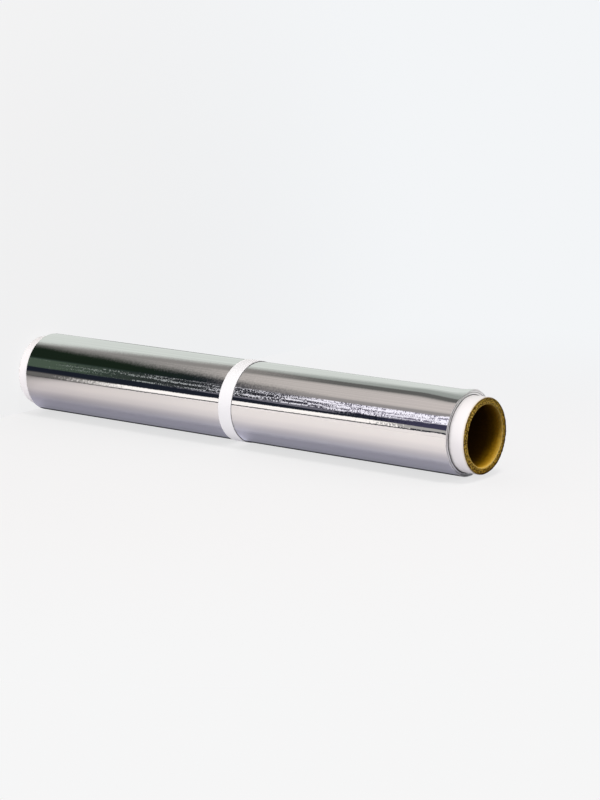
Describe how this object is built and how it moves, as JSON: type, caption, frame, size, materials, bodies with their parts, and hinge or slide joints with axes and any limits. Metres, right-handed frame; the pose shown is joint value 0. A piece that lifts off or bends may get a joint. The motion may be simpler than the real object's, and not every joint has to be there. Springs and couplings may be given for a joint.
{
  "type": "aluminium foil roll",
  "caption": "Kitchen foil roll: smooth aluminium foil wound on a thick white-faced board tube that stands out at both ends, with a narrow paper band round the middle.",
  "frame": {"origin": "on the roll's axis, at the plane of the tube's lower rim, which it stands on", "axes": "+Z along the roll's axis, from the rim it stands on to the open upper rim; +X and +Y are arbitrary, with the foil's free edge at 225 degrees from +X"},
  "size_m": [0.0468, 0.0469, 0.3181],
  "materials": {
    "brown_board": "wound brown board, sawn and fibrous at the rims",
    "white_face_paper": "smooth white paper, faintly glazed",
    "foil": "bright rolled foil",
    "band_paper": "thin white paper, matt"
  },
  "bodies": {
    "root": {"core_tube": "brown_board", "tube_white_face": "white_face_paper", "foil_roll": "foil", "paper_band": "band_paper"}
  },
  "joints": []
}
